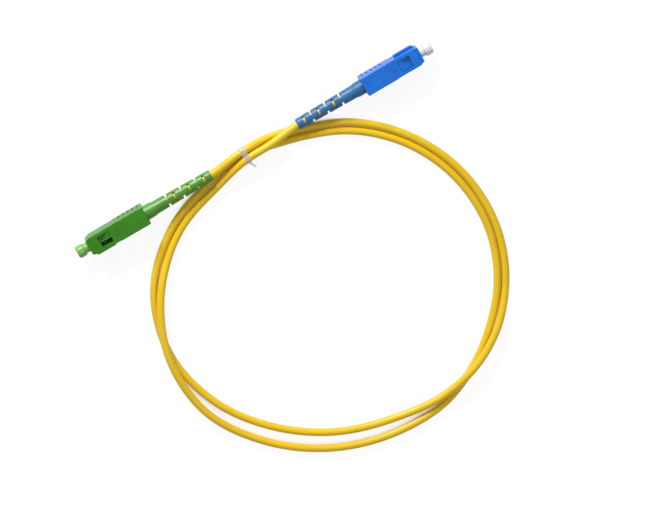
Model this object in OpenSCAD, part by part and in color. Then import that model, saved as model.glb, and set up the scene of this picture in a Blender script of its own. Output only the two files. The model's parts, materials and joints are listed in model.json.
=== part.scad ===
// Fibre optic patch cord: a simplex cable laid in a loose loop of two turns, with an angled-face
// connector at its -X end and a flat-face connector at its +X end.
// Frame: X runs along both connectors, the loop lies towards -Y and Z is up. The origin is on the
// resting surface, midway between the two connectors. Each connector is modelled pointing along +X
// with its axis on the X axis, then turned and lifted into place. All sizes are in millimetres.

/* [Grip] */
// Length of the outer sliding grip
grip_len = 25; // [24.5:0.1:25.5]
// Height of the ribbed rear section
grip_tall = 9.2; // [9.0:0.1:9.6]
// Width of the ribbed rear section
grip_wide = 7.6; // [7.4:0.1:8.0]
// Length of the smooth front section that enters an adapter
nose_len = 12; // [11:0.5:13]
// Height of the front section
nose_tall = 8.9; // [8.8:0.1:9.0]
// Width of the front section
nose_wide = 7.3; // [7.2:0.1:7.4]
// How far the grip slides back over the plug frame
grip_travel = 1.8; // [1.2:0.1:1.8]
// Width of the key on the wide face
key_w = 2; // [1.8:0.1:2.2]
// Number of finger grooves on each wide face
grip_grooves = 5; // [3:1:6]

/* [Plug frame] */
// Height of the inner plug frame
frame_tall = 6.4; // [6.2:0.1:6.4]
// Width of the inner plug frame
frame_wide = 5.2; // [5.1:0.1:5.2]
// Diameter of the round recess about the ferrule
recess_d = 4.4; // [4.3:0.1:4.4]

/* [Ferrule] */
// Diameter of the ceramic ferrule
ferrule_d = 2.5; // [2.4:0.1:2.5]
// Length of the ceramic ferrule
ferrule_len = 10.5; // [10:0.5:11]
// How far the sprung ferrule can be pushed back
ferrule_travel = 1.5; // [0.5:0.1:1.5]
// Angle of the polished face on the angled connector
angled_face = 8; // [0:1:9]

/* [Spring] */
// Wire diameter
wire_d = 0.45; // [0.35:0.05:0.5]
// Number of turns
spring_turns = 6; // [5:1:7]

/* [Boot] */
// Diameter of the collar at the connector
boot_root_d = 5.8; // [5.6:0.1:5.8]
// Diameter at the tip
boot_tip_d = 4.4; // [4.2:0.1:4.4]
// Number of flexing gaps
boot_gaps = 6; // [4:1:6]
// Distance from one gap to the next
gap_pitch = 3.2; // [3:0.1:3.3]
// Width of a gap
gap_w = 0.8; // [0.7:0.1:1.2]

/* [Dust cap] */
// Diameter of the knob
knob_d = 5; // [4.6:0.1:5.2]
// Length of the knob
knob_len = 3.2; // [2.8:0.1:3.4]
// Diameter of the tube over the ferrule
cap_tube_d = 3.9; // [3.6:0.1:3.9]

/* [Cable] */
// Outside diameter of the jacket
cable_d = 3; // [2.8:0.1:3]
// Inside diameter of the jacket
jacket_bore_d = 2.1; // [2.1:0.05:2.3]
// Outside diameter of the yarn layer
yarn_d = 2; // [1.8:0.05:2]
// Diameter of the buffered fibre
buffer_d = 0.9; // [0.8:0.05:0.9]
// Diameter of the coated fibre inside the buffer
fibre_d = 0.25; // [0.2:0.01:0.25]

/* [Tie] */
// Width of the tie along the cable
tie_w = 2.4; // [2:0.1:3]
// Thickness of the tie
tie_t = 0.35; // [0.25:0.05:0.35]

/* [Hidden] */
$fn = 64;

green_plastic = "#2f9e2a";
blue_plastic = "#1f6fd0";
cap_green = "#6fce62";
cap_clear = "#dfe3e6";
jacket_yellow = "#f4c20d";
steel = "#b8bcc2";
nickel = "#c9c6bc";
ceramic_white = "#f3f1ea";
ptfe_white = "#f7f7f2";
yarn_gold = "#d8b34a";
glass_clear = "#cfe6ee";
tie_clear = "#e8e8e4";

// Heights
axis_h = grip_tall / 2;
rest_h = cable_d / 2;

// Stations along a connector, measured from the middle of the part
cap_end = 78;
nose_front = 73;
step_at = nose_front - nose_len;
grip_back = nose_front - grip_len;
frame_front = nose_front - 0.2;
frame_back = 52;
web_front = 67.2;
web_back = 66.05;
ferrule_tip = nose_front + 1;
ferrule_back = ferrule_tip - ferrule_len;
flange_front = 66;
flange_back = 61.5;
stop_front = 56;
stop_step = 53;
tail_end = stop_step + ferrule_travel + 0.5;
stop_flange_back = 50.4;
stop_tail_end = 43.4;
crimp_end = 41.4;
jacket_end = 43.2;
buffer_end = 52.4;
boot_front = 50.3;
boot_tip = 19;
ramp_front = 66.6;
ramp_back = 63.7;
ramp_w = 4.3;
window_gap = 0.15;

// Radii and clearances inside a connector
slip = 0.15;
frame_bore_r = recess_d / 2;
web_r = ferrule_d / 2 + 0.25;
tail_r = 0.95;
buffer_bore_r = 0.52;
stop_bore_r = 1.3;
stop_tail_r = 1.45;
guide_r = 0.75;
crimp_r = 2.1;
glass_r = 0.0625;
wall_gap = 0.02;
buffer_slack = 0.05;
yarn_fold_r = stop_tail_r + 0.3;

// The route of the cable. Heights are those of its centre. Turn points are [angle, radius, height]
// about the loop's centre, and the others are [x, y, z].
loop_x = -0.7;
loop_y = -62.4;
turn_1 = [
    [55, 64.4, 1.5], [33, 65.6, 1.5], [11, 66.8, 1.5], [-11, 67.6, 1.5], [-30, 67.4, 1.5],
    [-45, 66.3, 3.6], [-60, 64, 4.7], [-75, 61.2, 3.6], [-96, 57.6, 1.5], [-119, 57.3, 1.5],
    [-142, 59.2, 1.5], [-165, 63.4, 1.5], [-189, 67.8, 1.5], [-211, 68.8, 1.5], [-232, 66.2, 1.5]
];
turn_2 = [
    [55, 61.1, 1.5], [33, 62.4, 1.5], [11, 63.6, 1.5], [-11, 64.4, 1.5], [-30, 64.2, 1.5],
    [-45, 63.6, 1.5], [-60, 63.8, 1.5], [-75, 64.2, 1.5], [-96, 63.2, 1.5], [-119, 63.6, 1.5],
    [-142, 65.6, 1.5], [-165, 68.6, 3], [-189, 68.4, 4.9], [-211, 66, 3.7], [-232, 63, 1.5]
];
green_lead = [
    [-jacket_end, 0, axis_h], [-31, 0, axis_h], [-boot_tip, 0, axis_h],
    [-5, 1.7, 4.9], [7, 0.9, 2.2], [19, -2.4, 1.5]
];
tie_pass = [[-19, -2.3, 1.5], [-5, 0, 2], [7, -2.6, 1.5], [19, -5.8, 1.5]];
blue_lead = [
    [-19, -5.5, 2.4], [-5, -1.8, 4.9], [7, -1.3, 5.2],
    [boot_tip, 0, axis_h], [31, 0, axis_h], [jacket_end, 0, axis_h]
];
function spot(p) = [loop_x + p[1] * cos(p[0]), loop_y + p[1] * sin(p[0]), p[2]];
route = concat(
    green_lead, [for (p = turn_1) spot(p)], tie_pass, [for (p = turn_2) spot(p)], blue_lead
);
last = len(route) - 1;
long_span = 16;

// A smooth curve through the route's points. A point that lies on the resting surface has a level
// tangent, so the curve never dips below it.
function span(i) = norm(route[i + 1] - route[i]);
function slope(i) = (route[i + 1] - route[i]) / span(i);
function mean_slope(i) = (slope(i) * span(i - 1) + slope(i - 1) * span(i)) / (span(i) + span(i - 1));
function levelled(v, z) = z <= rest_h ? [v[0], v[1], 0] : v;
function tangent(i) =
    i == 0 ? slope(0) : i == last ? slope(last - 1) : levelled(mean_slope(i), route[i][2]);
function along(i, u) =
    (2 * u ^ 3 - 3 * u ^ 2 + 1) * route[i]
    + (u ^ 3 - 2 * u ^ 2 + u) * span(i) * tangent(i)
    + (3 * u ^ 2 - 2 * u ^ 3) * route[i + 1]
    + (u ^ 3 - u ^ 2) * span(i) * tangent(i + 1);
cable_line = [
    for (i = [0 : last - 1]) for (u = span(i) > long_span ? [0, 0.5] : [0]) along(i, u),
    route[last]
];
core_line = concat([[-buffer_end, 0, axis_h]], cable_line, [[buffer_end, 0, axis_h]]);

// The tie's three strands, as [y, z] where the tie holds them
tie_at = -4;
tie_strands = [[1.7, 4.8], [-0.1, 2], [-1.8, 4.9]];
tie_slack = 0.15;

function unit(v) = v / norm(v);
function heading(line, k) = unit(line[min(k + 1, len(line) - 1)] - line[max(k - 1, 0)]);
function ring(centre, along_v, up_hint, r, sides) =
    let (side = unit(cross(along_v, up_hint)), up = cross(side, along_v))
    [
        for (j = [0 : sides - 1])
            let (a = (j + 0.5) * 360 / sides) centre + r * (cos(a) * side + sin(a) * up)
    ];
function skin(start, rings, sides, turned_in) = [
    for (k = [0 : rings - 2]) for (j = [0 : sides - 1])
        let (
            a = start + k * sides + j,
            b = start + k * sides + (j + 1) % sides,
            c = b + sides,
            d = a + sides
        )
        each turned_in ? [[a, c, b], [a, d, c]] : [[a, b, c], [a, c, d]]
];
function rim(outer, inner, sides, turned_in) = [
    for (j = [0 : sides - 1])
        let (a = outer + j, b = outer + (j + 1) % sides, c = inner + (j + 1) % sides, d = inner + j)
        each turned_in ? [[a, c, b], [a, d, c]] : [[a, b, c], [a, c, d]]
];
function disc(start, sides, turned_in) = [
    for (j = [1 : sides - 2])
        turned_in ? [start, start + j, start + j + 1] : [start, start + j + 1, start + j]
];

// A rod or tube that follows a line of points. hints holds one vector for each point, across the line.
module swept(line, hints, r_out, r_in, sides) {
    n = len(line);
    outer = [for (k = [0 : n - 1]) each ring(line[k], heading(line, k), hints[k], r_out, sides)];
    inner = r_in > 0
        ? [for (k = [0 : n - 1]) each ring(line[k], heading(line, k), hints[k], r_in, sides)]
        : [];
    tail = (n - 1) * sides;
    ends = r_in > 0
        ? concat(rim(0, n * sides, sides, true), rim(tail, n * sides + tail, sides, false))
        : concat(disc(0, sides, false), disc(tail, sides, true));
    polyhedron(
        points = concat(outer, inner),
        faces = concat(
            skin(0, n, sides, false),
            r_in > 0 ? skin(n * sides, n, sides, true) : [],
            ends
        ),
        convexity = 10
    );
}

module cable_layer(line, r_out, r_in) {
    sides = 8;
    swept(line, [for (p = line) [0, 0, 1]], r_out, r_in, sides);
}

// A turned solid about the X axis, from [radius, x] points
module turned(points) {
    rotate([0, 90, 0]) rotate_extrude() polygon(points);
}

// A plain tube about the X axis
module tube(from_x, to_x, r_out, r_in) {
    turned([[r_in, from_x], [r_out, from_x], [r_out, to_x], [r_in, to_x]]);
}

// A bar along X with rounded long edges
module bar(from_x, to_x, wide, tall, edge_r) {
    translate([from_x, 0, 0]) rotate([90, 0, 90]) linear_extrude(to_x - from_x) {
        square([wide - 2 * edge_r, tall], center = true);
        square([wide, tall - 2 * edge_r], center = true);
        for (y = [-1, 1]) for (z = [-1, 1])
            translate([y * (wide / 2 - edge_r), z * (tall / 2 - edge_r)]) circle(edge_r);
    }
}

// What stays of a bar once the edges of its +X end are bevelled in plan and in side view
module bevelled_front(front_x, wide, tall, bevel_long, bevel_deep) {
    intersection() {
        children();
        linear_extrude(4 * tall, center = true) nose_outline(front_x, wide, bevel_long, bevel_deep);
        rotate([90, 0, 0]) linear_extrude(4 * wide, center = true)
            nose_outline(front_x, tall, bevel_long, bevel_deep);
    }
}

module nose_outline(front_x, across, bevel_long, bevel_deep) {
    half = across / 2;
    polygon([
        [0, -half], [front_x - bevel_long, -half], [front_x, bevel_deep - half],
        [front_x, half - bevel_deep], [front_x - bevel_long, half], [0, half]
    ]);
}

module box(from, to) {
    translate(from) cube(to - from);
}

// Puts a connector's piece at its end of the cord
module at_green_end() {
    translate([0, 0, axis_h]) rotate([0, 0, 180]) children();
}

module at_blue_end() {
    translate([0, 0, axis_h]) children();
}

// The outer grip slides on the plug frame. Its latch windows are in the two narrow faces, and its
// key is on one wide face.
module grip() {
    window_w = ramp_w + 2 * window_gap;
    window_front = ramp_front + grip_travel + window_gap;
    window_back = ramp_back - window_gap;
    lead_in = 2.1;
    lead_in_deep = 0.75;
    shoulder = 0.6;
    shoulder_deep = 0.15;
    nose_edge_r = 0.4;
    rear_edge_r = 0.5;
    key_root = 0.3;
    key_front = nose_front - 1;
    key_long = 8.5;
    key_high = 0.9;
    key_lead = 0.8;
    groove_w = 0.8;
    groove_deep = 0.3;
    groove_tall = 0.68 * grip_tall;
    groove_from = grip_back + 1.6;
    groove_step = 2;
    pip_r = 0.45;
    pip_x = step_at + 0.4;
    rear_bore_deep = 4.5;
    rear_bore_r = 3.2;
    difference() {
        union() {
            bevelled_front(nose_front, nose_wide, nose_tall, lead_in, lead_in_deep)
                bar(step_at - 1, nose_front, nose_wide, nose_tall, nose_edge_r);
            bevelled_front(step_at, grip_wide, grip_tall, shoulder, shoulder_deep)
                bar(grip_back, step_at, grip_wide, grip_tall, rear_edge_r);
            translate([0, 0, -key_w / 2]) linear_extrude(key_w) polygon([
                [key_front - key_long, nose_wide / 2 - key_root],
                [key_front, nose_wide / 2 - key_root],
                [key_front, nose_wide / 2], [key_front - key_lead, nose_wide / 2 + key_high],
                [key_front - key_long, nose_wide / 2 + key_high]
            ]);
        }
        box(
            [grip_back - 1, -frame_wide / 2 - slip, -frame_tall / 2 - slip],
            [nose_front + 1, frame_wide / 2 + slip, frame_tall / 2 + slip]
        );
        translate([grip_back - 1, 0, 0]) rotate([0, 90, 0])
            cylinder(r = rear_bore_r, h = rear_bore_deep + 1);
        box([window_back, -window_w / 2, -grip_tall], [window_front, window_w / 2, grip_tall]);
        for (k = [0 : grip_grooves - 1]) for (side = [-1, 1])
            translate([groove_from + k * groove_step, side * grip_wide / 2, 0])
                cube([groove_w, 2 * groove_deep, groove_tall], center = true);
    }
    for (turn = [0, 180]) rotate([turn, 0, 0]) translate([pip_x, 0, grip_tall / 2 - pip_r])
        cylinder(r = pip_r, h = pip_r);
}

// The inner plug frame holds the ferrule, and its latch ramps stand in the grip's windows. A frame
// with a core slot is open beside each ramp, down to the round recess.
module plug_frame(core_slot) {
    ramp_top_x = 64.8;
    ramp_high = 1.1;
    ramp_root = 0.3;
    lead_in = 0.8;
    lead_in_deep = 0.35;
    edge_r = 0.3;
    slot_w = 2.2;
    slot_side = 0.1;
    slot_front = ramp_front + 1.6;
    slot_floor = 1;
    difference() {
        union() {
            bevelled_front(frame_front, frame_wide, frame_tall, lead_in, lead_in_deep)
                bar(frame_back, frame_front, frame_wide, frame_tall, edge_r);
            for (turn = [0, 180]) rotate([turn, 0, 0])
                translate([0, ramp_w / 2, 0]) rotate([90, 0, 0]) linear_extrude(ramp_w) polygon([
                    [ramp_back, frame_tall / 2 - ramp_root],
                    [ramp_front, frame_tall / 2 - ramp_root],
                    [ramp_front, frame_tall / 2], [ramp_top_x, frame_tall / 2 + ramp_high],
                    [ramp_back, frame_tall / 2 + ramp_high]
                ]);
        }
        translate([web_front, 0, 0]) rotate([0, 90, 0]) cylinder(r = frame_bore_r, h = frame_front);
        translate([frame_back - 1, 0, 0]) rotate([0, 90, 0])
            cylinder(r = frame_bore_r, h = web_back - frame_back + 1);
        translate([web_back - 1, 0, 0]) rotate([0, 90, 0])
            cylinder(r = web_r, h = web_front - web_back + 2);
        if (core_slot) for (turn = [0, 180]) rotate([turn, 0, 0])
            box(
                [ramp_back - slot_side, slot_side, slot_floor],
                [slot_front, slot_side + slot_w, frame_tall]
            );
    }
}

// The ceramic ferrule, with a bevelled rim and a face that may be tilted
module ferrule(face_angle) {
    rim_bevel = 0.35;
    rim_long = 0.6;
    r = ferrule_d / 2;
    bore_r = glass_r + wall_gap / 2;
    difference() {
        turned([
            [bore_r, ferrule_back], [r, ferrule_back], [r, ferrule_tip - rim_long],
            [r - rim_bevel, ferrule_tip], [bore_r, ferrule_tip]
        ]);
        polishing_cut(face_angle);
    }
}

// What polishing takes off the tip, down to a face at the given angle
module polishing_cut(face_angle) {
    translate([ferrule_tip, 0, 0]) rotate([0, face_angle, 0])
        box([0, -ferrule_d, -ferrule_d], [ferrule_d, ferrule_d, ferrule_d]);
}

// The metal holder of the ferrule: a cup at the front, a web, and the tail tube
module ferrule_flange() {
    collar_r = frame_bore_r - 0.1;
    cup_r = ferrule_d / 2;
    buffer_r = buffer_d / 2 + buffer_slack;
    turned([
        [cup_r, flange_front], [collar_r, flange_front], [collar_r, flange_back],
        [tail_r, flange_back], [tail_r, tail_end], [buffer_r, tail_end],
        [buffer_r, ferrule_back], [cup_r, ferrule_back]
    ]);
}

// The bare glass fibre in the ferrule, cut back where the face is tilted
module fibre_stub(face_angle) {
    difference() {
        tube(ferrule_back, ferrule_tip, glass_r, 0);
        polishing_cut(face_angle);
    }
}

// The buffered fibre that travels with the ferrule
module buffer_tail() {
    showing = 0.6;
    tube(tail_end - showing, ferrule_back, buffer_d / 2, 0);
}

// A coil spring with closed ends, about the tail tube
module spring() {
    steps = 14;
    wire_sides = 6;
    r = 1.65;
    x0 = stop_front + wire_d / 2;
    x1 = flange_back - wire_d / 2;
    closed = wire_d;
    pitch = (x1 - x0 - 2 * closed) / (spring_turns - 2);
    function lift(t) =
        t < 1 ? closed * t
        : t > spring_turns - 1 ? x1 - x0 - closed * (spring_turns - t)
        : closed + pitch * (t - 1);
    line = [
        for (k = [0 : spring_turns * steps])
            let (a = k * 360 / steps) [x0 + lift(k / steps), r * cos(a), r * sin(a)]
    ];
    swept(line, [for (p = line) [0, p[1], p[2]]], wire_d / 2 - wall_gap, 0, wire_sides);
}

// The rear body closes the plug frame, seats the spring and carries the crimp
module stop_body() {
    turned([
        [guide_r + wall_gap, stop_tail_end], [stop_tail_r, stop_tail_end],
        [stop_tail_r, stop_flange_back], [frame_wide / 2, stop_flange_back],
        [frame_wide / 2, frame_back], [frame_bore_r - wall_gap, frame_back],
        [frame_bore_r - wall_gap, stop_front], [stop_bore_r, stop_front],
        [stop_bore_r, stop_step], [guide_r + wall_gap, stop_step]
    ]);
}

module guide_tube() {
    tube(stop_tail_end + 0.1, stop_step, guide_r, buffer_bore_r);
}

// The crimp ring presses the yarn onto the rear body, and its back end grips the jacket
module crimp_ring() {
    step_x = 44;
    ring_front = boot_front - 0.2;
    turned([
        [rest_h + wall_gap, crimp_end], [crimp_r, crimp_end], [crimp_r, ring_front],
        [yarn_fold_r, ring_front], [yarn_fold_r, step_x], [rest_h + wall_gap, step_x]
    ]);
}

// The yarn folded back over the rear body's tail, under the crimp ring
module folded_yarn() {
    fold_back = 44.1;
    fold_front = 50;
    tube(fold_back, fold_front, yarn_fold_r - wall_gap, stop_tail_r + wall_gap);
}

// The segmented strain relief. Each gap leaves two bridges, and the next gap's bridges are a
// quarter turn round.
module boot() {
    collar_back = 45;
    bore_step = 40.6;
    bore_r = cable_d / 2 + 0.2;
    socket_r = crimp_r + 0.1;
    root_r = boot_root_d / 2;
    root_round = 0.4;
    neck_r = root_r - 0.25;
    tip_r = boot_tip_d / 2;
    tip_round = 0.5;
    bridge_w = 1.9;
    first_gap = boot_tip + 3.2;
    difference() {
        turned([
            [bore_r, boot_tip], [tip_r - tip_round, boot_tip], [tip_r, boot_tip + tip_round],
            [neck_r, collar_back - 1], [root_r, collar_back], [root_r, boot_front - root_round],
            [root_r - root_round, boot_front], [socket_r, boot_front],
            [socket_r, bore_step], [bore_r, bore_step - 1]
        ]);
        for (k = [0 : boot_gaps - 1])
            translate([first_gap + k * gap_pitch, 0, 0]) rotate([k % 2 * 90, 0, 0])
                for (side = [-1, 1]) translate([0, 0, side * (bridge_w / 2 + root_r)])
                    cube([gap_w, 3 * root_r, 2 * root_r], center = true);
    }
}

// The dust cap: a blind tube over the ferrule, and a rounded knob
module dust_cap() {
    tube_start = 69.1;
    tube_r = cap_tube_d / 2;
    bore_r = ferrule_d / 2 + 0.05;
    bore_end = ferrule_tip + 0.4;
    knob_start = cap_end - knob_len;
    knob_r = knob_d / 2;
    knob_bevel = 0.3;
    round_r = 0.7;
    turned(concat(
        [
            [0, bore_end], [bore_r, bore_end], [bore_r, tube_start], [tube_r, tube_start],
            [tube_r, knob_start], [knob_r - knob_bevel, knob_start],
            [knob_r, knob_start + knob_bevel]
        ],
        [
            for (a = [0 : 15 : 90])
                [knob_r, cap_end] + round_r * [cos(a) - 1, sin(a) - 1]
        ],
        [[0, cap_end]]
    ));
}

// The clear tie about the three strands, with its twisted end
module cable_tie() {
    tail_from = [tie_at, -3.45, 3.8];
    tail_turn = [115, 0, 24];
    tail_long = 3.6;
    tail_w = 1.4;
    tail_t = 0.5;
    tail_twist = 450;
    color(tie_clear) {
        translate([tie_at - tie_w / 2, 0, 0]) rotate([90, 0, 90])
            linear_extrude(tie_w) difference() {
                strand_outline(tie_slack + tie_t);
                strand_outline(tie_slack);
            }
        translate(tail_from) rotate(tail_turn)
            linear_extrude(tail_long, twist = tail_twist, slices = 24, segments = 4)
                square([tail_w, tail_t], center = true);
    }
}

module strand_outline(grow) {
    hull() for (p = tie_strands) translate(p) circle(rest_h + grow, $fn = 32);
}

// The cable, from the outside in
module cable_jacket() {
    color(jacket_yellow) cable_layer(cable_line, rest_h, jacket_bore_d / 2);
}

module aramid_yarn() {
    color(yarn_gold) {
        cable_layer(cable_line, yarn_d / 2, buffer_d / 2 + buffer_slack);
        at_green_end() folded_yarn();
        at_blue_end() folded_yarn();
    }
}

module tight_buffer() {
    color(ptfe_white) cable_layer(core_line, buffer_d / 2, fibre_d / 2 + wall_gap);
}

module fibre_core() {
    color(glass_clear) cable_layer(core_line, fibre_d / 2, 0);
}

module green_grip() { color(green_plastic) at_green_end() grip(); }
module green_plug_frame() { color(green_plastic) at_green_end() plug_frame(true); }
module green_ferrule() { color(ceramic_white) at_green_end() ferrule(angled_face); }
module green_ferrule_flange() { color(steel) at_green_end() ferrule_flange(); }
module green_fibre_stub() { color(glass_clear) at_green_end() fibre_stub(angled_face); }
module green_buffer_tail() { color(ptfe_white) at_green_end() buffer_tail(); }
module green_spring() { color(steel) at_green_end() spring(); }
module green_stop_body() { color(nickel) at_green_end() stop_body(); }
module green_guide_tube() { color(ptfe_white) at_green_end() guide_tube(); }
module green_crimp_ring() { color(nickel) at_green_end() crimp_ring(); }
module green_boot() { color(green_plastic) at_green_end() boot(); }
module green_dust_cap() { color(cap_green) at_green_end() dust_cap(); }

module blue_grip() { color(blue_plastic) at_blue_end() grip(); }
module blue_plug_frame() { color(blue_plastic) at_blue_end() plug_frame(false); }
module blue_ferrule() { color(ceramic_white) at_blue_end() ferrule(0); }
module blue_ferrule_flange() { color(steel) at_blue_end() ferrule_flange(); }
module blue_fibre_stub() { color(glass_clear) at_blue_end() fibre_stub(0); }
module blue_buffer_tail() { color(ptfe_white) at_blue_end() buffer_tail(); }
module blue_spring() { color(steel) at_blue_end() spring(); }
module blue_stop_body() { color(nickel) at_blue_end() stop_body(); }
module blue_guide_tube() { color(ptfe_white) at_blue_end() guide_tube(); }
module blue_crimp_ring() { color(nickel) at_blue_end() crimp_ring(); }
module blue_boot() { color(blue_plastic) at_blue_end() boot(); }
module blue_dust_cap() { color(cap_clear) at_blue_end() dust_cap(); }

cable_jacket();
aramid_yarn();
tight_buffer();
fibre_core();
cable_tie();
green_grip();
green_plug_frame();
green_ferrule();
green_ferrule_flange();
green_fibre_stub();
green_buffer_tail();
green_spring();
green_stop_body();
green_guide_tube();
green_crimp_ring();
green_boot();
green_dust_cap();
blue_grip();
blue_plug_frame();
blue_ferrule();
blue_ferrule_flange();
blue_fibre_stub();
blue_buffer_tail();
blue_spring();
blue_stop_body();
blue_guide_tube();
blue_crimp_ring();
blue_boot();
blue_dust_cap();
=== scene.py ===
import json
import math

import bmesh
import bpy
from mathutils import Matrix, Vector


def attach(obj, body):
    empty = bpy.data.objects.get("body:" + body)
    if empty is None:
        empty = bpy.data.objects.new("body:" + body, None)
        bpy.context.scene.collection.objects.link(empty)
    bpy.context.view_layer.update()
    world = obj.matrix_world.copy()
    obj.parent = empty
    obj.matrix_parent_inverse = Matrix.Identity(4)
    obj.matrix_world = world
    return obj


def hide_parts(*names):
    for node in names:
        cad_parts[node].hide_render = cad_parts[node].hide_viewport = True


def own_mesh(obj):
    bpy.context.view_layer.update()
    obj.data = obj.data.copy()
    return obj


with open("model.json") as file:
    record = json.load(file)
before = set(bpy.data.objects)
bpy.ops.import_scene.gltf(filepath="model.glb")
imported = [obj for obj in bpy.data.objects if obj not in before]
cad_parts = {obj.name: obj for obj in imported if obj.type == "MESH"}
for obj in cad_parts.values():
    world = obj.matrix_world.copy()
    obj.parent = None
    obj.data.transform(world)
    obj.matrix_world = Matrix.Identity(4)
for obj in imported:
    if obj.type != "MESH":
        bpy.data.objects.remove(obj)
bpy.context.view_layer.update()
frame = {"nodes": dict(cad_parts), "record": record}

MM = 0.001

# ---------------------------------------------------------------- camera
# The view is almost straight down, tipped a little towards +Y, with +X turned up from the right.
TURN, TILT = math.radians(30.3), math.radians(12.5)
LOOK_AT = Vector((1.9, -53.25, 1.36)) * MM
DISTANCE, FRAME_W, SENSOR_W = 1.5, 0.2512, 36.0
PLUG_AXIS = Vector((1, 0, 0))
TIPPED_Y = Vector((0, math.cos(TILT), -math.sin(TILT)))
VIEW_RIGHT = PLUG_AXIS * math.cos(TURN) - TIPPED_Y * math.sin(TURN)
VIEW_UP = PLUG_AXIS * math.sin(TURN) + TIPPED_Y * math.cos(TURN)
VIEW_BACK = VIEW_RIGHT.cross(VIEW_UP)


def add_camera():
    data = bpy.data.cameras.new("camera")
    data.sensor_width = SENSOR_W
    data.lens = SENSOR_W * DISTANCE / FRAME_W
    data.clip_start, data.clip_end = 0.05, 20
    camera = bpy.data.objects.new("camera", data)
    axes = Matrix((VIEW_RIGHT, VIEW_UP, VIEW_BACK)).transposed().to_4x4()
    camera.matrix_world = Matrix.Translation(LOOK_AT + VIEW_BACK * DISTANCE) @ axes
    bpy.context.scene.collection.objects.link(camera)
    bpy.context.scene.camera = camera


add_camera()

# ---------------------------------------------------------------- the cable's route
# Heights are those of the cable's centre. Turn points are (angle, radius, height) about the loop's
# centre, with radius and height in metres, and the others are (x, y, z) in metres.
CABLE_R = 0.0015
LOW_ENOUGH = CABLE_R + 1e-6
AXIS_H = 0.0046
LOOP_X, LOOP_Y = -0.0007, -0.0624
CABLE_END, CORE_END, BOOT_TIP = 0.0432, 0.0524, 0.019
TURN_1 = [
    (55, 0.0644, 0.0015), (33, 0.0656, 0.0015), (11, 0.0668, 0.0015), (-11, 0.0676, 0.0015),
    (-30, 0.0674, 0.0015), (-45, 0.0663, 0.0036), (-60, 0.064, 0.0047), (-75, 0.0612, 0.0036),
    (-96, 0.0576, 0.0015), (-119, 0.0573, 0.0015), (-142, 0.0592, 0.0015), (-165, 0.0634, 0.0015),
    (-189, 0.0678, 0.0015), (-211, 0.0688, 0.0015), (-232, 0.0662, 0.0015),
]
TURN_2 = [
    (55, 0.0611, 0.0015), (33, 0.0624, 0.0015), (11, 0.0636, 0.0015), (-11, 0.0644, 0.0015),
    (-30, 0.0642, 0.0015), (-45, 0.0636, 0.0015), (-60, 0.0638, 0.0015), (-75, 0.0642, 0.0015),
    (-96, 0.0632, 0.0015), (-119, 0.0636, 0.0015), (-142, 0.0656, 0.0015), (-165, 0.0686, 0.003),
    (-189, 0.0684, 0.0049), (-211, 0.066, 0.0037), (-232, 0.063, 0.0015),
]
GREEN_LEAD = [
    (-CABLE_END, 0, AXIS_H), (-0.031, 0, AXIS_H), (-BOOT_TIP, 0, AXIS_H),
    (-0.005, 0.0017, 0.0049), (0.007, 0.0009, 0.0022), (0.019, -0.0024, 0.0015),
]
TIE_PASS = [
    (-0.019, -0.0023, 0.0015), (-0.005, 0, 0.002), (0.007, -0.0026, 0.0015),
    (0.019, -0.0058, 0.0015),
]
BLUE_LEAD = [
    (-0.019, -0.0055, 0.0024), (-0.005, -0.0018, 0.0049), (0.007, -0.0013, 0.0052),
    (BOOT_TIP, 0, AXIS_H), (0.031, 0, AXIS_H), (CABLE_END, 0, AXIS_H),
]


def spot(angle, radius, height):
    turn = math.radians(angle)
    return (LOOP_X + radius * math.cos(turn), LOOP_Y + radius * math.sin(turn), height)


def make_route():
    loops = [[spot(*p) for p in turn] for turn in (TURN_1, TURN_2)]
    return [Vector(p) for p in GREEN_LEAD + loops[0] + TIE_PASS + loops[1] + BLUE_LEAD]


def tangents(route):
    """The curve's direction at each point. A point on the resting surface has a level one."""
    steps = [b - a for a, b in zip(route, route[1:])]
    found = [steps[0].normalized()]
    for before, after, point in zip(steps, steps[1:], route[1:]):
        mean = after.normalized() * before.length + before.normalized() * after.length
        mean /= before.length + after.length
        found.append(Vector((mean.x, mean.y, 0)) if point.z < LOW_ENOUGH else mean)
    return found + [steps[-1].normalized()]


def smooth_line(route, step):
    """Points about a step apart on the curve that the CAD cable follows."""
    directions, line = tangents(route), []
    for a, b, start, end in zip(route, route[1:], directions, directions[1:]):
        span = (b - a).length
        count = max(2, round(span / step))
        for k in range(count):
            u = k / count
            line.append(
                a * (2 * u**3 - 3 * u**2 + 1) + start * span * (u**3 - 2 * u**2 + u)
                + b * (3 * u**2 - 2 * u**3) + end * span * (u**3 - u**2)
            )
    return line + [route[-1]]


SKIN_STEP, CORE_STEP = 0.0014, 0.0024
ROUTE = make_route()
CABLE_LINE = smooth_line(ROUTE, SKIN_STEP)
INNER_LINE = smooth_line(ROUTE, CORE_STEP)
CORE_LINE = [Vector((-CORE_END, 0, AXIS_H))] + INNER_LINE + [Vector((CORE_END, 0, AXIS_H))]

# ---------------------------------------------------------------- mesh helpers
STRAND_LAY = 0.004
SAME_PLACE, FLAT_WITHIN = 1e-6, math.radians(0.5)


def add_mesh(name, points, faces, uvs=None, crease=40):
    mesh = bpy.data.meshes.new(name)
    mesh.from_pydata([tuple(p) for p in points], [], faces)
    if uvs:
        layer = mesh.uv_layers.new(name="along")
        for loop, uv in zip(layer.data, uvs):
            loop.uv = uv
    return add_object(name, mesh, crease)


def add_object(name, mesh, crease=40):
    mesh.validate()
    mesh.shade_smooth()
    mesh.set_sharp_from_angle(angle=math.radians(crease))
    piece = bpy.data.objects.new(name, mesh)
    bpy.context.scene.collection.objects.link(piece)
    return piece


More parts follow.
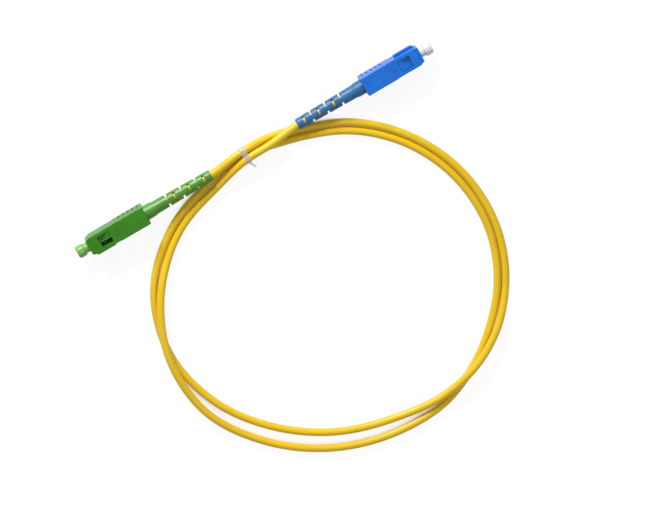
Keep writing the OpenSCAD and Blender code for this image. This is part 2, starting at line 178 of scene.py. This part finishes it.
def place(piece, body, slot, *nodes):
    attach(piece, body)
    if nodes:
        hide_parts(*nodes)
    piece.data.materials.clear()
    piece.data.materials.append(MATERIALS[slot])
    return piece


def lengths(line):
    found = [0.0]
    for a, b in zip(line, line[1:]):
        found.append(found[-1] + (b - a).length)
    return found


def heading(line, k, closed=False):
    if closed:
        return (line[(k + 1) % len(line)] - line[k - 1]).normalized()
    return (line[min(k + 1, len(line) - 1)] - line[max(k - 1, 0)]).normalized()


def round_ring(radius, sides, lobes=0, depth=0.0):
    """One ring's (across, up) points for a place along a line. Lobes wind round it like strands."""
    def ring(along):
        found = []
        for j in range(sides):
            a = j * 2 * math.pi / sides
            r = radius - depth * (0.5 + 0.5 * math.cos(lobes * a + along / STRAND_LAY))
            found.append((r * math.cos(a), r * math.sin(a)))
        return found
    return ring


def flat_ring(thick, wide, sides=16, squareness=0.45):
    """A strip's section: a rectangle with its corners rounded."""
    def ring(along):
        found = []
        for j in range(sides):
            c, s = math.cos(j * 2 * math.pi / sides), math.sin(j * 2 * math.pi / sides)
            a = math.copysign(abs(c) ** squareness, c) * thick / 2
            b = math.copysign(abs(s) ** squareness, s) * wide / 2
            found.append((a, b))
        return found
    return ring


def sweep(line, hints, rings, closed=False):
    """Points, faces and UVs of rings carried along a line. Two rings make a tube with a bore."""
    count, along = len(line), lengths(line)
    points, faces, uvs = [], [], []
    starts = []
    for index, ring in enumerate(rings):
        starts.append(len(points))
        sides = len(ring(0.0))
        for k in range(count):
            forward = heading(line, k, closed)
            side = forward.cross(hints[k]).normalized()
            up = side.cross(forward)
            points += [line[k] + side * a + up * b for a, b in ring(along[k])]
        base = starts[-1]
        for k in range(count if closed else count - 1):
            here, there = base + k * sides, base + (k + 1) % count * sides
            far = along[k + 1] if k + 1 < count else along[k] + (line[0] - line[k]).length
            for j in range(sides):
                i = (j + 1) % sides
                quad = [here + j, here + i, there + i, there + j]
                uv = [(j, along[k]), (j + 1, along[k]), (j + 1, far), (j, far)]
                if index == 1:
                    quad, uv = quad[::-1], uv[::-1]
                faces.append(quad)
                uvs += [(u / sides, v) for u, v in uv]
    if closed:
        return points, faces, uvs
    sides = len(rings[0](0.0))
    for k, turned in ((0, False), (count - 1, True)):
        if len(rings) == 1:
            face = [k * sides + j for j in range(sides)]
            face = face if turned else face[::-1]
            faces.append(face)
            uvs += [(j / sides, along[k]) for j in range(sides)]
        else:
            for j in range(sides):
                a, b = k * sides + j, k * sides + (j + 1) % sides
                c, d = starts[1] + b, starts[1] + a
                quad = [a, b, c, d] if turned else [d, c, b, a]
                faces.append(quad)
                uvs += [(j / sides, along[k])] * 4
    return points, faces, uvs


def swept_piece(name, sweeps, crease=50):
    """One piece made of one or more sweeps, each (line, hints, rings) or (..., closed)."""
    points, faces, uvs = [], [], []
    for one in sweeps:
        more_points, more_faces, more_uvs = sweep(*one)
        faces += [[len(points) + i for i in face] for face in more_faces]
        points += more_points
        uvs += more_uvs
    return add_mesh(name, points, faces, uvs, crease)


def upright(line):
    return [Vector((0, 0, 1))] * len(line)


def round_edges(bm, width, segments, angle, reach=(0, 1)):
    """Rounds the sharp edges whose distances from the middle along X lie within a reach."""
    sharp = [
        e for e in bm.edges
        if len(e.link_faces) == 2 and e.calc_face_angle(0) > math.radians(angle)
        and all(reach[0] <= abs(v.co.x) <= reach[1] for v in e.verts)
    ]
    bmesh.ops.bevel(
        bm, geom=sharp, offset=width, segments=segments, profile=0.5, affect="EDGES", clamp_overlap=True
    )


def softened(node, width, segments=2, angle=32, crease=30):
    """A copy of a CAD node with its flat faces joined and its sharp edges rounded."""
    bm = bmesh.new()
    bm.from_mesh(frame["nodes"][node].data)
    bmesh.ops.remove_doubles(bm, verts=bm.verts, dist=SAME_PLACE)
    bmesh.ops.dissolve_limit(
        bm, angle_limit=FLAT_WITHIN, verts=bm.verts, edges=bm.edges, use_dissolve_boundaries=False
    )
    round_edges(bm, width, segments, angle)
    mesh = bpy.data.meshes.new(node + "_shape")
    bm.to_mesh(mesh)
    bm.free()
    piece = add_object(node + "_shape", mesh, crease)
    normals = piece.modifiers.new("even_normals", "WEIGHTED_NORMAL")
    normals.keep_sharp = True
    return piece


# ---------------------------------------------------------------- materials
MATERIALS = {}
# The scales and heights that all moulded plastic shares
DRIFT, SHEEN_SPOTS, RIPPLE, RIPPLE_H = 160, 900, 420, 6e-6


class Finish:
    """A Principled material whose colour, roughness and relief vary over the surface."""

    def __init__(self, slot, **constants):
        self.material = bpy.data.materials.new(slot)
        self.material.use_nodes = True
        self.tree = self.material.node_tree
        self.tree.nodes.clear()
        self.shader = self.tree.nodes.new("ShaderNodeBsdfPrincipled")
        output = self.tree.nodes.new("ShaderNodeOutputMaterial")
        self.tree.links.new(self.shader.outputs["BSDF"], output.inputs["Surface"])
        for socket, value in constants.items():
            self.shader.inputs[socket.replace("_", " ")].default_value = value
        self.relief = None
        MATERIALS[slot] = self.material

    def noise(self, scale, detail=3.0, along=False):
        """Noise over the object's own space, or over the swept UVs for streaks along a line."""
        nodes, links = self.tree.nodes, self.tree.links
        stretch = nodes.new("ShaderNodeMapping")
        stretch.inputs["Scale"].default_value = scale
        if along:
            source = nodes.new("ShaderNodeUVMap")
            source.uv_map = "along"
            links.new(source.outputs["UV"], stretch.inputs["Vector"])
        else:
            source = nodes.new("ShaderNodeTexCoord")
            links.new(source.outputs["Object"], stretch.inputs["Vector"])
        texture = nodes.new("ShaderNodeTexNoise")
        texture.inputs["Scale"].default_value = 1.0
        texture.inputs["Detail"].default_value = detail
        links.new(stretch.outputs["Vector"], texture.inputs["Vector"])
        return texture.outputs["Fac"]

    def colours(self, value, *stops):
        ramp = self.tree.nodes.new("ShaderNodeValToRGB")
        elements = ramp.color_ramp.elements
        while len(elements) < len(stops):
            elements.new(0.5)
        for element, (place_at, colour) in zip(elements, stops):
            element.position = place_at
            element.color = (*colour, 1)
        self.tree.links.new(value, ramp.inputs["Fac"])
        self.tree.links.new(ramp.outputs["Color"], self.shader.inputs["Base Color"])

    def roughness(self, value, low, high):
        spread = self.spread(value, 0, 1, low, high)
        self.tree.links.new(spread.outputs["Result"], self.shader.inputs["Roughness"])

    def spread(self, value, low, high, to_low, to_high):
        """A node that takes the range from low to high onto another range."""
        node = self.tree.nodes.new("ShaderNodeMapRange")
        for socket, number in zip(("From Min", "From Max", "To Min", "To Max"), (low, high, to_low, to_high)):
            node.inputs[socket].default_value = number
        self.tree.links.new(value, node.inputs["Value"])
        return node

    def shaded_glow(self, near, far):
        """A floor's emission, which grows from near the object to far from it, and fades only in
        narrow gaps, where little sky reaches the floor. The floor's own colour is paler there, so
        that a gap shows the light that its walls throw on it."""
        nodes, links = self.tree.nodes, self.tree.links
        centre = nodes.new("ShaderNodeTexCoord")
        distance = nodes.new("ShaderNodeVectorMath")
        distance.operation = "LENGTH"
        links.new(centre.outputs["Object"], distance.inputs[0])
        strength = self.spread(distance.outputs["Value"], *GLOW_GROWS, near, far)
        sky = nodes.new("ShaderNodeAmbientOcclusion")
        sky.inputs["Distance"].default_value = GAP_REACH
        sky.samples = 8
        in_gap, in_open = GAP_SKY
        self.colours(sky.outputs["AO"], (in_gap, (GAP_GREY,) * 3), (in_open, (FLOOR_GREY,) * 3))
        glow = self.spread(sky.outputs["AO"], in_gap, in_open, 0, near)
        links.new(strength.outputs["Result"], glow.inputs["To Max"])
        links.new(glow.outputs["Result"], self.shader.inputs["Emission Strength"])

    def bump(self, value, height):
        node = self.tree.nodes.new("ShaderNodeBump")
        node.inputs["Strength"].default_value = 1.0
        node.inputs["Distance"].default_value = height
        self.tree.links.new(value, node.inputs["Height"])
        if self.relief is not None:
            self.tree.links.new(self.relief, node.inputs["Normal"])
        self.relief = node.outputs["Normal"]
        self.tree.links.new(self.relief, self.shader.inputs["Normal"])


def cube_scale(s):
    return (s, s, s)


def moulded(slot, dark, light, rough, grain=5200, height=2.2e-6, **constants):
    """Moulded plastic: slow drift in colour, a fine sparked grain, and a slight ripple."""
    f = Finish(slot, **constants)
    f.colours(f.noise(cube_scale(DRIFT)), (0.3, dark), (0.7, light))
    f.roughness(f.noise(cube_scale(SHEEN_SPOTS)), *rough)
    f.bump(f.noise(cube_scale(grain), 2.0), height)
    f.bump(f.noise(cube_scale(RIPPLE), 1.0), RIPPLE_H)


def jacket_finish():
    f = Finish("jacket", Specular_IOR_Level=0.5)
    f.colours(
        f.noise((3, 55, 1), 4.0, along=True),
        (0.25, (0.76, 0.475, 0.001)), (0.55, (0.81, 0.525, 0.002)), (0.8, (0.86, 0.575, 0.003)),
    )
    f.roughness(f.noise((9, 90, 1), 3.0, along=True), 0.30, 0.44)
    f.bump(f.noise((34, 22, 1), 2.0, along=True), 9e-6)
    f.bump(f.noise(cube_scale(6500), 2.0), 2e-6)


def metal(slot, dark, light, rough, streak, **constants):
    """Turned metal: fine rings about the X axis."""
    f = Finish(slot, Metallic=1.0, **constants)
    f.colours(f.noise(cube_scale(300)), (0.3, dark), (0.7, light))
    f.roughness(f.noise((streak, 300, 300), 2.0), *rough)
    f.bump(f.noise((streak * 2, 150, 150), 1.0), 1.5e-6)


def glass_finish():
    f = Finish("fibre_glass", Transmission_Weight=0.85, IOR=1.46)
    f.colours(f.noise(cube_scale(500)), (0.3, (0.86, 0.93, 0.95)), (0.7, (0.93, 0.98, 0.99)))
    f.roughness(f.noise(cube_scale(1500)), 0.03, 0.07)


def yarn_finish():
    f = Finish("yarn", Sheen_Weight=0.4)
    f.colours(f.noise((40, 60, 1), 4.0, along=True), (0.3, (0.62, 0.43, 0.12)), (0.7, (0.80, 0.62, 0.24)))
    f.roughness(f.noise((30, 40, 1), 2.0, along=True), 0.45, 0.65)
    f.bump(f.noise((60, 120, 1), 2.0, along=True), 1.2e-5)


def make_materials():
    jacket_finish()
    yarn_finish()
    glass_finish()
    moulded("white_plastic", (0.80, 0.80, 0.77), (0.88, 0.88, 0.85), (0.30, 0.45))
    moulded(
        "clear_tie", (0.60, 0.59, 0.66), (0.72, 0.71, 0.78), (0.12, 0.24), grain=2600, height=8e-7,
        Alpha=0.25,
    )
    moulded(
        "green_plastic", (0.030, 0.196, 0.003), (0.040, 0.238, 0.005), (0.30, 0.44), Specular_IOR_Level=0.35
    )
    moulded(
        "blue_plastic", (0.001, 0.125, 0.56), (0.002, 0.160, 0.66), (0.26, 0.40), Specular_IOR_Level=0.35
    )
    moulded(
        "green_rubber", (0.045, 0.22, 0.006), (0.06, 0.26, 0.010), (0.34, 0.46), grain=3800, height=2e-6,
        Specular_IOR_Level=0.7,
    )
    moulded(
        "blue_rubber", (0.014, 0.116, 0.28), (0.020, 0.142, 0.34), (0.36, 0.48), grain=3800, height=2e-6,
        Specular_IOR_Level=0.45,
    )
    moulded(
        "cap_green", (0.18, 0.46, 0.09), (0.24, 0.56, 0.13), (0.26, 0.40),
        Subsurface_Weight=0.35, Subsurface_Scale=0.0012, Transmission_Weight=0.15,
    )
    moulded(
        "cap_clear", (0.66, 0.67, 0.68), (0.74, 0.75, 0.76), (0.22, 0.36),
        Subsurface_Weight=0.5, Subsurface_Scale=0.0015, IOR=1.5,
    )
    moulded("zirconia", (0.84, 0.82, 0.76), (0.90, 0.88, 0.83), (0.08, 0.16), height=4e-7, Coat_Weight=0.3)
    metal("flange_steel", (0.50, 0.51, 0.53), (0.64, 0.65, 0.67), (0.22, 0.36), 9000)
    metal("spring_steel", (0.42, 0.43, 0.45), (0.56, 0.57, 0.60), (0.24, 0.38), 5000)
    metal("nickel", (0.58, 0.55, 0.48), (0.70, 0.67, 0.60), (0.20, 0.32), 9000)
    metal("crimp_metal", (0.60, 0.60, 0.58), (0.74, 0.73, 0.71), (0.30, 0.46), 4000)


make_materials()

# ---------------------------------------------------------------- the cable
JACKET_BORE_R, YARN_R, YARN_BORE_R = 0.00105, 0.001, 0.0005
BUFFER_R, BUFFER_BORE_R, FIBRE_R = 0.00045, 0.000145, 0.000125
FOLD_BACK, FOLD_FRONT, FOLD_R, FOLD_BORE_R = 0.0441, 0.050, 0.00173, 0.00147
YARN_STRANDS, FOLD_STRANDS, FOLD_STEPS = 6, 16, 8


def make_yarn():
    """Stranded yarn round the buffered fibre, and folded back at each end under the crimp ring."""
    loops = [(INNER_LINE, upright(INNER_LINE), [
        round_ring(YARN_R, 30, YARN_STRANDS, 0.0001), round_ring(YARN_BORE_R, 30),
    ])]
    for sign in (-1, 1):
        start, end = (Vector((sign * x, 0, AXIS_H)) for x in (FOLD_BACK, FOLD_FRONT))
        fold = [start.lerp(end, k / FOLD_STEPS) for k in range(FOLD_STEPS + 1)]
        rings = [round_ring(FOLD_R, 48, FOLD_STRANDS, 0.00005), round_ring(FOLD_BORE_R, 48)]
        loops.append((fold, upright(fold), rings))
    return place(swept_piece("aramid_yarn_strands", loops), "cord", "yarn", "aramid_yarn")


def make_cable():
    """The jacket, and a list of the pieces that lie inside it."""
    buffer_rings = [round_ring(BUFFER_R, 20), round_ring(BUFFER_BORE_R, 20)]
    buffer_tube = swept_piece("tight_buffer_tube", [(CORE_LINE, upright(CORE_LINE), buffer_rings)])
    place(buffer_tube, "cord", "white_plastic", "tight_buffer")
    fibre = swept_piece("fibre_core_strand", [(CORE_LINE, upright(CORE_LINE), [round_ring(FIBRE_R, 12)])])
    place(fibre, "cord", "fibre_glass", "fibre_core")
    rings = [round_ring(CABLE_R, 24), round_ring(JACKET_BORE_R, 24)]
    jacket = swept_piece("cable_jacket_skin", [(CABLE_LINE, upright(CABLE_LINE), rings)])
    place(jacket, "cord", "jacket", "cable_jacket")
    return jacket, [make_yarn(), buffer_tube, fibre]


# ---------------------------------------------------------------- the tie
TIE_X = -0.004
TIE_STRANDS = [(0.0017, 0.0048), (-0.0018, 0.0049), (-0.0001, 0.002)]
TIE_SLACK, TIE_THICK, TIE_WIDE = 0.00012, 0.0003, 0.0023
TAIL_ROOT, TAIL_END = Vector((-4, -3.2, 3.9)) * MM, Vector((-2.7, -6.3, 2.3)) * MM
TAIL_TURNS, TAIL_STEPS, TAIL_THICK, TAIL_WIDE = 1.6, 44, 0.0003, 0.00078
TAIL_APART, TAIL_SPLAY = 0.00024, 0.00022


def wrap_line(centres, radius, steps=9):
    """A taut line round circles, given as (y, z) centres in turn, anticlockwise."""
    line = []
    for before, here, after in zip(centres[-1:] + centres[:-1], centres, centres[1:] + centres[:1]):
        start = math.atan2(here[1] - before[1], here[0] - before[0]) - math.pi / 2
        turn = math.atan2(after[1] - here[1], after[0] - here[0]) - math.pi / 2 - start
        turn %= 2 * math.pi
        for k in range(steps + 1):
            a = start + turn * k / steps
            line.append(Vector((TIE_X, here[0] + radius * math.cos(a), here[1] + radius * math.sin(a))))
    return line


def tail_strand(phase):
    """One of the strip's two ends, twisted about the tail's axis and a little splayed at its tip."""
    forward = (TAIL_END - TAIL_ROOT).normalized()
    side = forward.cross(Vector((0, 0, 1))).normalized()
    up = side.cross(forward)
    line, hints = [], []
    for k in range(TAIL_STEPS + 1):
        u = k / TAIL_STEPS
        a = phase + TAIL_TURNS * 2 * math.pi * u
        out = side * math.cos(a) + up * math.sin(a)
        line.append(TAIL_ROOT.lerp(TAIL_END, u) + out * (TAIL_APART + TAIL_SPLAY * u**6))
        hints.append(forward.cross(out))
    return line, hints, [flat_ring(TAIL_THICK, TAIL_WIDE, 12)]


def make_tie():
    band = wrap_line(TIE_STRANDS, CABLE_R + TIE_SLACK + TIE_THICK / 2)
    sweeps = [(band, [PLUG_AXIS] * len(band), [flat_ring(TIE_THICK, TIE_WIDE)], True)]
    sweeps += [tail_strand(0), tail_strand(math.pi)]
    return place(swept_piece("clear_twist_tie", sweeps), "cord", "clear_tie", "cable_tie")


JACKET, CABLE_CORE = make_cable()
make_tie()

# ---------------------------------------------------------------- the plugs
STOP_FRONT, FLANGE_BACK, FERRULE_TRAVEL = 0.056, 0.0615, 0.0015
WIRE_R, WIRE_D, COIL_R, COIL_TURNS, COIL_STEPS = 0.000205, 0.00045, 0.00165, 6, 32


def make_spring(colour, sign):
    """A coil spring with closed ends."""
    start, end = STOP_FRONT + WIRE_D / 2, FLANGE_BACK - WIRE_D / 2
    pitch = (end - start - 2 * WIRE_D) / (COIL_TURNS - 2)
    line, hints = [], []
    for k in range(COIL_TURNS * COIL_STEPS + 1):
        turns = k / COIL_STEPS
        if turns < 1:
            lift = WIRE_D * turns
        elif turns > COIL_TURNS - 1:
            lift = end - start - WIRE_D * (COIL_TURNS - turns)
        else:
            lift = WIRE_D + pitch * (turns - 1)
        out = Vector((0, sign * math.cos(turns * 2 * math.pi), math.sin(turns * 2 * math.pi)))
        line.append(Vector((sign * (start + lift), 0, AXIS_H)) + out * COIL_R)
        hints.append(out)
    spring = swept_piece(f"{colour}_coil_spring", [(line, hints, [round_ring(WIRE_R, 12)])])
    place(spring, "cord", "spring_steel", f"{colour}_spring")
    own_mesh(spring)


# ---------------------------------------------------------------- the boots
BOOT_FRONT, COLLAR_BACK = 0.0503, 0.045
TIP_R, NECK_R, COLLAR_R, EDGE_ROUND = 0.0022, 0.00265, 0.0029, 0.0004
BORE_R, SOCKET_R, SOCKET_BACK = 0.0017, 0.0022, 0.0406
GAPS, GAP_PITCH, GAP_W, FIRST_GAP, BRIDGE_W = 6, 0.0032, 0.0008, 0.0222, 0.0019
BRIDGE_CELLS, OPEN_CELLS, CELL_LONG = 6, 3, 0.0011
GAP_ROUND, STEP_LONG = 0.00014, 0.001


def boot_outer(x):
    """The boot's outer radius, with a rounded tip and front, and a soft step up to the collar."""
    taper = TIP_R + (NECK_R - TIP_R) * (x - BOOT_TIP) / (COLLAR_BACK - BOOT_TIP)
    step = min(max((x - COLLAR_BACK) / STEP_LONG + 1, 0), 1)
    radius = taper + (COLLAR_R - taper) * step * step * (3 - 2 * step)
    from_end = min(x - BOOT_TIP, BOOT_FRONT - x, EDGE_ROUND)
    return radius - EDGE_ROUND + math.sqrt(EDGE_ROUND**2 - (EDGE_ROUND - from_end) ** 2)


def boot_inner(x):
    step = min(max((x - SOCKET_BACK) / STEP_LONG + 1, 0), 1)
    return BORE_R + (SOCKET_R - BORE_R) * step


def boot_angles(radius):
    """Angles round a ring, with grid lines on both sides of each of the four bridge places."""
    half = math.asin(BRIDGE_W / 2 / radius)
    angles = []
    for quarter in range(4):
        middle = quarter * math.pi / 2
        angles += [middle - half + 2 * half * j / BRIDGE_CELLS for j in range(BRIDGE_CELLS)]
        angles += [
            middle + half + (math.pi / 2 - 2 * half) * j / OPEN_CELLS for j in range(OPEN_CELLS)
        ]
    return angles


def boot_stations():
    """Places along the boot: close together at its rounded ends, and one at each gap's sides."""
    ends = [EDGE_ROUND * (1 - math.cos(k * math.pi / 10)) for k in range(5)]
    gaps = [FIRST_GAP + k * GAP_PITCH + side * GAP_W / 2 for k in range(GAPS) for side in (-1, 1)]
    marks = sorted([BOOT_TIP + EDGE_ROUND, SOCKET_BACK, COLLAR_BACK, BOOT_FRONT - EDGE_ROUND] + gaps)
    stations = [BOOT_TIP + e for e in ends]
    for a, b in zip(marks, marks[1:]):
        count = max(1, math.ceil((b - a) / CELL_LONG))
        stations += [a + (b - a) * k / count for k in range(count)]
    return stations + [BOOT_FRONT - e for e in [EDGE_ROUND] + ends[::-1]]


def in_gap(x, cell):
    """Whether a cell of the boot's wall is cut away. A gap keeps two bridges, turned each time."""
    for k in range(GAPS):
        if abs(x - FIRST_GAP - k * GAP_PITCH) < GAP_W / 2:
            quarter, place_in = divmod(cell, BRIDGE_CELLS + OPEN_CELLS)
            return place_in >= BRIDGE_CELLS or quarter % 2 != k % 2
    return False


def make_boot(colour, sign):
    """The segmented strain relief, with every edge of its gaps rounded."""
    stations, sides = boot_stations(), 4 * (BRIDGE_CELLS + OPEN_CELLS)
    bm = bmesh.new()
    rings = []
    for radius_at in (boot_outer, boot_inner):
        rings.append([])
        for x in stations:
            r = radius_at(x)
            rings[-1].append([
                bm.verts.new((sign * x, sign * r * math.cos(a), AXIS_H + r * math.sin(a)))
                for a in boot_angles(r)
            ])
    outer, inner = rings
    middles = [(a + b) / 2 for a, b in zip(stations, stations[1:])]
    solid = [[not in_gap(x, j) for j in range(sides)] for x in middles]
    last = len(middles) - 1
    for i, row in enumerate(solid):
        for j, filled in enumerate(row):
            if not filled:
                continue
            k = (j + 1) % sides
            bm.faces.new((outer[i][j], outer[i][k], outer[i + 1][k], outer[i + 1][j]))
            bm.faces.new((inner[i][j], inner[i + 1][j], inner[i + 1][k], inner[i][k]))
            if i == 0 or not solid[i - 1][j]:
                bm.faces.new((outer[i][j], inner[i][j], inner[i][k], outer[i][k]))
            if i == last or not solid[i + 1][j]:
                bm.faces.new((outer[i + 1][j], outer[i + 1][k], inner[i + 1][k], inner[i + 1][j]))
            if not row[j - 1]:
                bm.faces.new((outer[i][j], outer[i + 1][j], inner[i + 1][j], inner[i][j]))
            if not row[k]:
                bm.faces.new((outer[i][k], inner[i][k], inner[i + 1][k], outer[i + 1][k]))
    bm.verts.ensure_lookup_table()
    bmesh.ops.delete(bm, geom=[v for v in bm.verts if not v.link_faces], context="VERTS")
    bmesh.ops.recalc_face_normals(bm, faces=bm.faces)
    round_edges(bm, GAP_ROUND, 3, 35, (BOOT_TIP + EDGE_ROUND, SOCKET_BACK))
    mesh = bpy.data.meshes.new(f"{colour}_boot_shell")
    bm.to_mesh(mesh)
    bm.free()
    boot = add_object(f"{colour}_boot_shell", mesh, 50)
    return place(boot, "cord", f"{colour}_rubber", f"{colour}_boot")


def make_plug(colour, sign, cap_slot):
    """The plug's pieces, each from its CAD node with its edges rounded: (part, body, slot, width)."""
    pieces = [
        ("grip", f"{colour}_grip", f"{colour}_plastic", 0.00012),
        ("plug_frame", "cord", f"{colour}_plastic", 0.00006),
        ("dust_cap", f"{colour}_cap", cap_slot, 0.00012),
        ("ferrule", f"{colour}_ferrule", "zirconia", 0.00003),
        ("ferrule_flange", f"{colour}_ferrule", "flange_steel", 0.00004),
        ("stop_body", "cord", "nickel", 0.00005),
        ("guide_tube", "cord", "white_plastic", 0.00003),
        ("crimp_ring", "cord", "crimp_metal", 0.00006),
    ]
    for part, body, slot, width in pieces:
        node = f"{colour}_{part}"
        place(softened(node, width), body, slot, node)
    make_spring(colour, sign)
    make_boot(colour, sign)


make_plug("green", -1, "cap_green")
make_plug("blue", 1, "cap_clear")

SLOT_OF = {s["node"]: s["material_slot"] for s in frame["record"]["subparts"]}
for name, node in frame["nodes"].items():
    if not node.hide_render:
        node.data.materials.clear()
        node.data.materials.append(MATERIALS[SLOT_OF[name]])

# ---------------------------------------------------------------- floor and light
FLOOR_R, FLOOR_Z, WALL_H = 3.0, -0.00002, 2.5
NEAR_GLOW, FAR_GLOW, WALL_GLOW = 0.84, 0.96, 0.99
# The distances between which the floor's glow grows, how far a gap's walls may be, the open-sky
# fractions of a narrow gap and of open floor, and the floor's grey in a gap and elsewhere
GLOW_GROWS, GAP_REACH, GAP_SKY, GAP_GREY, FLOOR_GREY = (0.5, 1.3), 0.006, (0.15, 0.45), 0.85, 0.24
WALL_GREY, ROUND_SEGMENTS = 0.02, 96
SKY_LIGHT = 0.45


def add_stage(name, bm, **constants):
    """A part of the studio, which glows pale but throws no light of its own on the object."""
    mesh = bpy.data.meshes.new(name)
    bm.to_mesh(mesh)
    bm.free()
    part = bpy.data.objects.new(name, mesh)
    bpy.context.scene.collection.objects.link(part)
    f = Finish(name, Emission_Color=(1, 1, 1, 1), **constants)
    f.roughness(f.noise(cube_scale(20)), 0.6, 0.8)
    mesh.materials.append(MATERIALS[name])
    part.visible_diffuse = False
    return part, f


def add_floor():
    bm = bmesh.new()
    bmesh.ops.create_circle(bm, cap_ends=True, segments=ROUND_SEGMENTS, radius=FLOOR_R)
    floor, finish = add_stage("floor", bm)
    floor.location.z = FLOOR_Z
    finish.shaded_glow(NEAR_GLOW, FAR_GLOW)


def add_wall():
    """A round wall at the floor's rim, which only a low view sees. It stops no light."""
    bm = bmesh.new()
    bmesh.ops.create_cone(
        bm, cap_ends=False, segments=ROUND_SEGMENTS, radius1=FLOOR_R, radius2=FLOOR_R, depth=WALL_H,
        matrix=Matrix.Translation((0, 0, FLOOR_Z + WALL_H / 2)),
    )
    wall, _ = add_stage("wall", bm, Base_Color=(WALL_GREY,) * 3 + (1,), Emission_Strength=WALL_GLOW)
    wall.visible_glossy = wall.visible_transmission = wall.visible_shadow = False


def add_lamp(name, right, up, back, size, watts):
    """A square soft lamp, placed by the view's own axes and aimed at the object."""
    data = bpy.data.lights.new(name, "AREA")
    data.size, data.energy = size, watts
    lamp = bpy.data.objects.new(name, data)
    offset = VIEW_RIGHT * right + VIEW_UP * up + VIEW_BACK * back
    lamp.location = LOOK_AT + offset
    lamp.rotation_mode = "QUATERNION"
    lamp.rotation_quaternion = offset.to_track_quat("Z", "Y")
    bpy.context.scene.collection.objects.link(lamp)


def add_light():
    add_lamp("key", right=-0.42, up=0.85, back=0.76, size=0.36, watts=15)
    add_lamp("fill", right=0.6, up=-0.4, back=1.0, size=0.9, watts=1.2)
    world = bpy.data.worlds.new("studio")
    world.use_nodes = True
    background = world.node_tree.nodes["Background"]
    background.inputs["Color"].default_value = (1, 1, 1, 1)
    background.inputs["Strength"].default_value = SKY_LIGHT
    bpy.context.scene.world = world
    bpy.context.scene.view_settings.view_transform = "Standard"


add_floor()
add_wall()
add_light()
